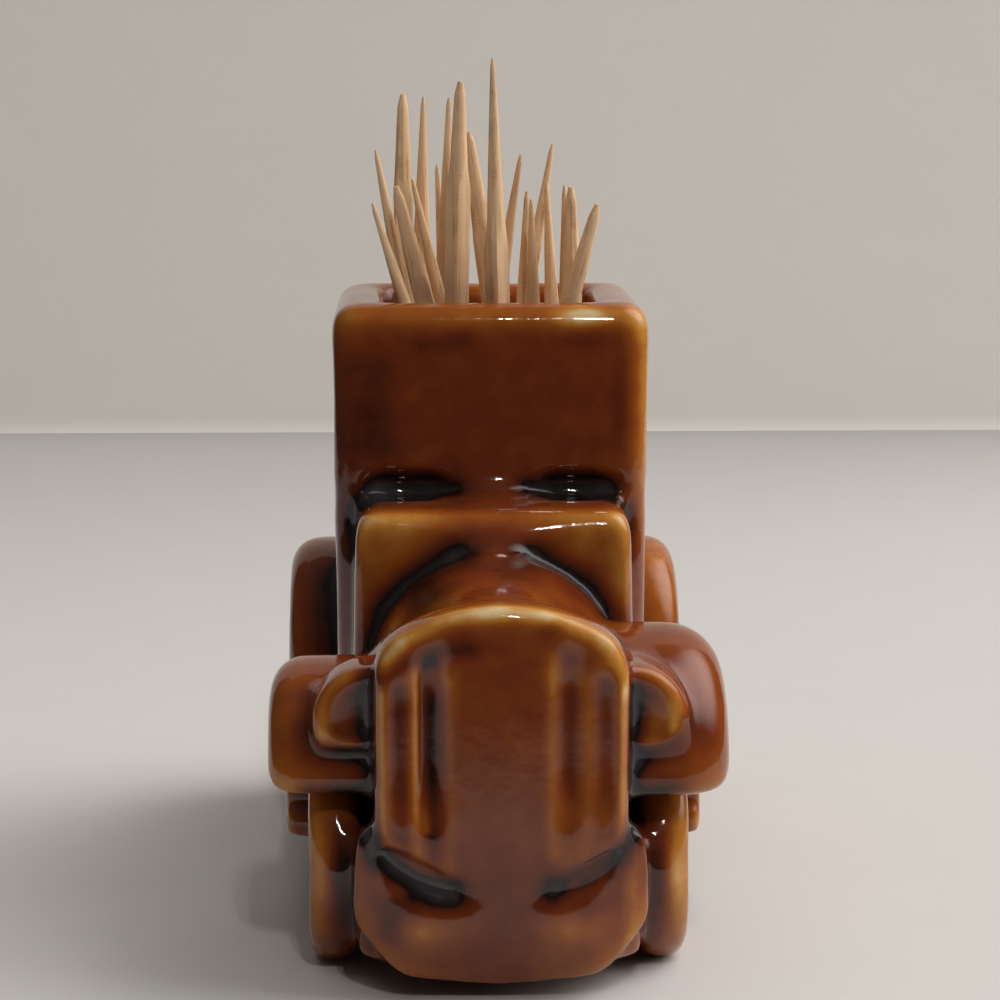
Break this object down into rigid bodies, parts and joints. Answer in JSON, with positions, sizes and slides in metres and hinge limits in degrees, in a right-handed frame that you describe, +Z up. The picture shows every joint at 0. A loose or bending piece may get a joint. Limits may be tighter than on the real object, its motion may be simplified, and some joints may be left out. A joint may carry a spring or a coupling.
{
  "type": "toothpick holder",
  "caption": "Glazed ceramic vintage car whose open cab is a well for a bunch of loose wooden toothpicks.",
  "frame": {"origin": "middle of the footprint, on the table under the wheels", "axes": "+X to the right seen from the car's nose, +Y from the nose to the boot, +Z up"},
  "size_m": [0.0402, 0.0852, 0.0789],
  "materials": {
    "glaze": "thick glossy amber-brown glaze, darker where it pools",
    "toothpick_wood": "raw split birch, dry and slightly fibrous"
  },
  "bodies": {
    "car_body": {"car_body": "glaze"},
    "toothpick_01": {"toothpick_01": "toothpick_wood"},
    "toothpick_02": {"toothpick_02": "toothpick_wood"},
    "toothpick_03": {"toothpick_03": "toothpick_wood"},
    "toothpick_04": {"toothpick_04": "toothpick_wood"},
    "toothpick_05": {"toothpick_05": "toothpick_wood"},
    "toothpick_06": {"toothpick_06": "toothpick_wood"},
    "toothpick_07": {"toothpick_07": "toothpick_wood"},
    "toothpick_08": {"toothpick_08": "toothpick_wood"},
    "toothpick_09": {"toothpick_09": "toothpick_wood"},
    "toothpick_10": {"toothpick_10": "toothpick_wood"},
    "toothpick_11": {"toothpick_11": "toothpick_wood"},
    "toothpick_12": {"toothpick_12": "toothpick_wood"},
    "toothpick_13": {"toothpick_13": "toothpick_wood"},
    "toothpick_14": {"toothpick_14": "toothpick_wood"},
    "toothpick_15": {"toothpick_15": "toothpick_wood"},
    "toothpick_16": {"toothpick_16": "toothpick_wood"},
    "toothpick_17": {"toothpick_17": "toothpick_wood"},
    "toothpick_18": {"toothpick_18": "toothpick_wood"},
    "toothpick_19": {"toothpick_19": "toothpick_wood"},
    "toothpick_20": {"toothpick_20": "toothpick_wood"}
  },
  "joints": [
    {"name": "toothpick_01_lift", "type": "slide", "parent": "car_body", "child": "toothpick_01", "axis": [0.0193, -0.0041, 0.9998], "range_m": [0, 0.04322]},
    {"name": "toothpick_02_lift", "type": "slide", "parent": "car_body", "child": "toothpick_02", "axis": [-0.0211, -0.0585, 0.9981], "range_m": [0, 0.04095]},
    {"name": "toothpick_03_lift", "type": "slide", "parent": "car_body", "child": "toothpick_03", "axis": [-0.0068, 0.0437, 0.999], "range_m": [0, 0.04457]},
    {"name": "toothpick_04_lift", "type": "slide", "parent": "car_body", "child": "toothpick_04", "axis": [0.0162, 0.0205, 0.9997], "range_m": [0, 0.04489]},
    {"name": "toothpick_05_lift", "type": "slide", "parent": "car_body", "child": "toothpick_05", "axis": [0.0236, 0.0288, 0.9993], "range_m": [0, 0.04489]},
    {"name": "toothpick_06_lift", "type": "slide", "parent": "car_body", "child": "toothpick_06", "axis": [0.0036, 0.0123, 0.9999], "range_m": [0, 0.04831]},
    {"name": "toothpick_07_lift", "type": "slide", "parent": "car_body", "child": "toothpick_07", "axis": [-0.1364, 0.033, 0.9901], "range_m": [0, 0.04805]},
    {"name": "toothpick_08_lift", "type": "slide", "parent": "car_body", "child": "toothpick_08", "axis": [-0.3034, 0.0302, 0.9524], "range_m": [0, 0.0542]},
    {"name": "toothpick_09_lift", "type": "slide", "parent": "car_body", "child": "toothpick_09", "axis": [-0.237, -0.1109, 0.9652], "range_m": [0, 0.05276]},
    {"name": "toothpick_10_lift", "type": "slide", "parent": "car_body", "child": "toothpick_10", "axis": [-0.1863, -0.0279, 0.9821], "range_m": [0, 0.04958]},
    {"name": "toothpick_11_lift", "type": "slide", "parent": "car_body", "child": "toothpick_11", "axis": [-0.0558, 0.0951, 0.9939], "range_m": [0, 0.05153]},
    {"name": "toothpick_12_lift", "type": "slide", "parent": "car_body", "child": "toothpick_12", "axis": [-0.2147, -0.1182, 0.9695], "range_m": [0, 0.05223]},
    {"name": "toothpick_13_lift", "type": "slide", "parent": "car_body", "child": "toothpick_13", "axis": [0.1559, -0.0326, 0.9872], "range_m": [0, 0.05046]},
    {"name": "toothpick_14_lift", "type": "slide", "parent": "car_body", "child": "toothpick_14", "axis": [0.1625, -0.0202, 0.9865], "range_m": [0, 0.04932]},
    {"name": "toothpick_15_lift", "type": "slide", "parent": "car_body", "child": "toothpick_15", "axis": [0.022, -0.1581, 0.9872], "range_m": [0, 0.05369]},
    {"name": "toothpick_16_lift", "type": "slide", "parent": "car_body", "child": "toothpick_16", "axis": [-0.0377, -0.2083, 0.9773], "range_m": [0, 0.05423]},
    {"name": "toothpick_17_lift", "type": "slide", "parent": "car_body", "child": "toothpick_17", "axis": [-0.0518, -0.0981, 0.9938], "range_m": [0, 0.05303]},
    {"name": "toothpick_18_lift", "type": "slide", "parent": "car_body", "child": "toothpick_18", "axis": [-0.0107, -0.0948, 0.9954], "range_m": [0, 0.05324]},
    {"name": "toothpick_19_lift", "type": "slide", "parent": "car_body", "child": "toothpick_19", "axis": [-0.0224, -0.0964, 0.9951], "range_m": [0, 0.05326]},
    {"name": "toothpick_20_lift", "type": "slide", "parent": "car_body", "child": "toothpick_20", "axis": [0.2578, -0.0408, 0.9653], "range_m": [0, 0.05463]}
  ]
}
